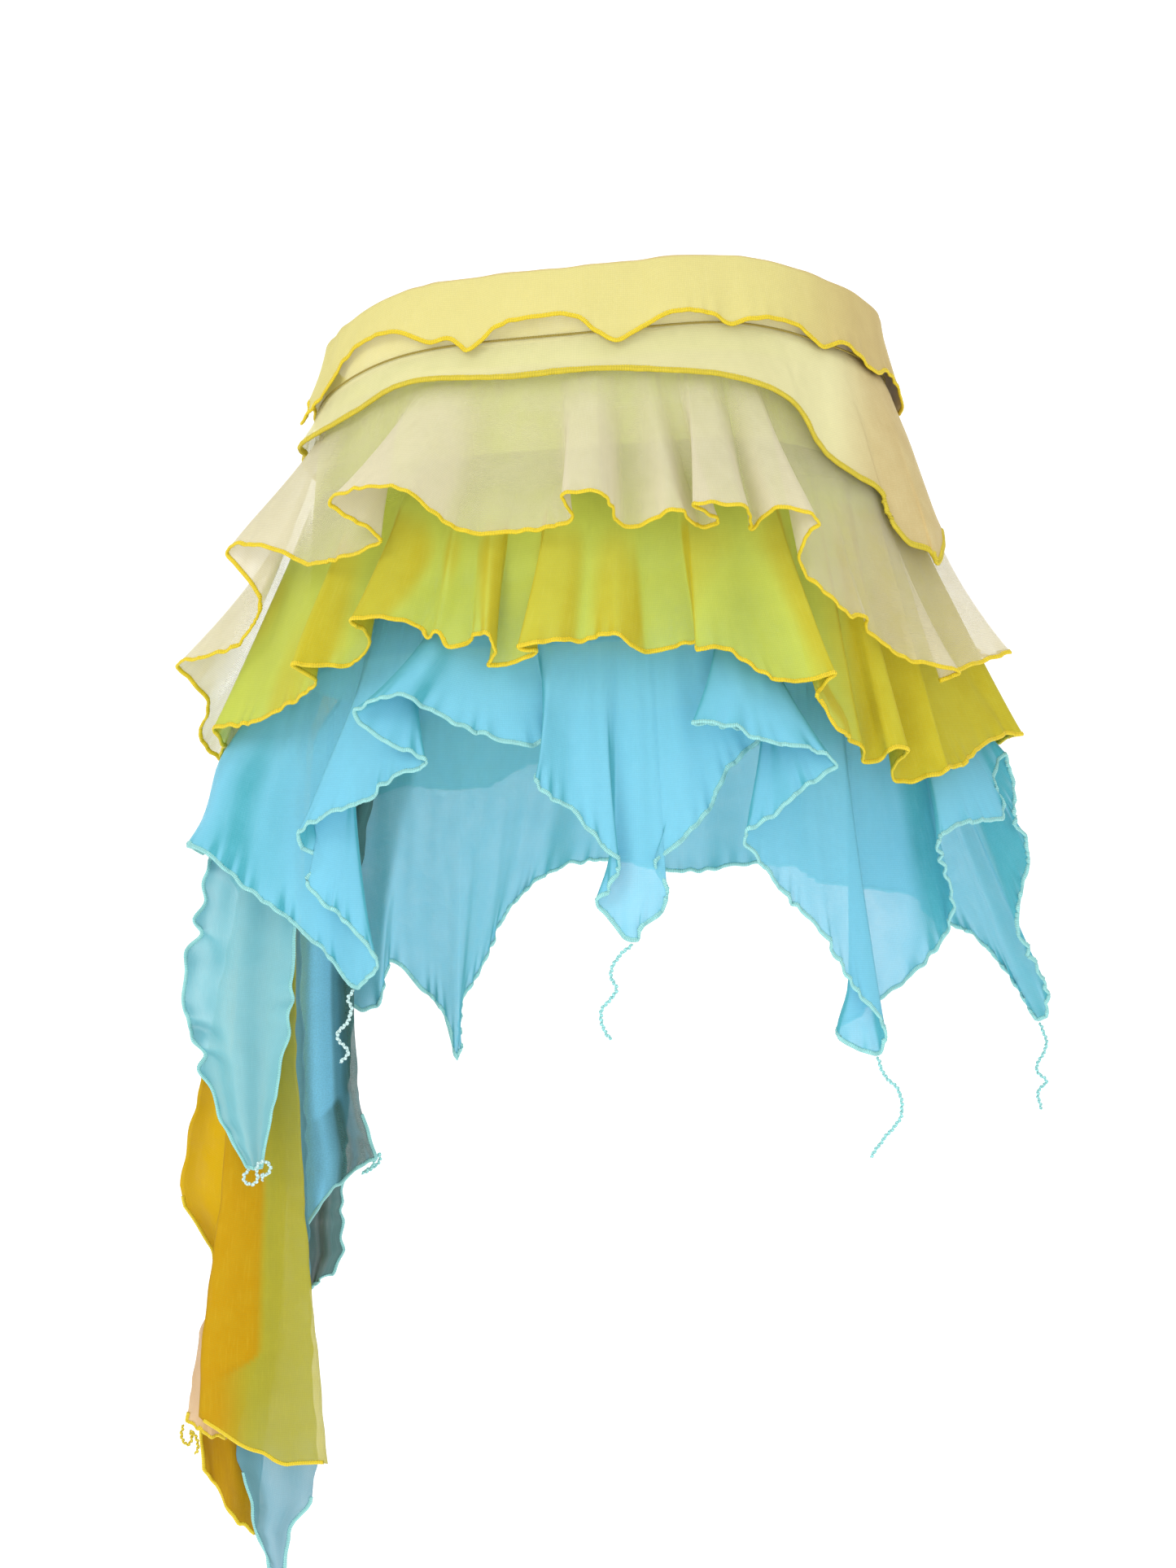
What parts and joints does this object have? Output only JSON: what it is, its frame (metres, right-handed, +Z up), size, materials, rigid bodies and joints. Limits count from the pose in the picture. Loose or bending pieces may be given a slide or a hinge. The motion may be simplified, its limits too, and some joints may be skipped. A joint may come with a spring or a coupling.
{
  "type": "ruffle skirt",
  "caption": "Layered sheer mini ruffle skirt with a fold-over waistband, handkerchief hems and a long cascade of panels at one side, in the pose of a worn garment.",
  "frame": {"origin": "middle of the waist opening, at the mean height of the top fold", "axes": "+Z up, -Y the back of the skirt, which is the side shown, +X the wearer's right"},
  "size_m": [0.5208, 0.3213, 0.7717],
  "materials": {
    "butter_mesh": "soft sheer stretch mesh, two layers",
    "lime_mesh": "soft sheer stretch mesh",
    "ivory_mesh": "soft sheer stretch mesh",
    "gold_mesh": "soft sheer stretch mesh",
    "aqua_mesh": "soft sheer stretch mesh",
    "mint_mesh": "soft sheer stretch mesh",
    "aqua_thread": "overlocked thread chain"
  },
  "bodies": {
    "root": {"waistband": "butter_mesh", "yoke_overlay": "lime_mesh", "tier_1_ivory": "ivory_mesh", "tier_2_gold": "gold_mesh", "tier_3_aqua": "aqua_mesh", "base_tube": "mint_mesh", "cascade_petal": "aqua_mesh", "cascade_gold_front": "gold_mesh", "cascade_ivory": "ivory_mesh", "cascade_aqua_tail": "aqua_mesh", "cascade_gold_back": "gold_mesh", "cascade_aqua_side": "aqua_mesh", "cascade_aqua_under": "aqua_mesh", "thread_tail_left": "aqua_thread", "thread_tail_middle": "aqua_thread", "thread_tail_right": "aqua_thread", "thread_tail_side": "aqua_thread"}
  },
  "joints": []
}
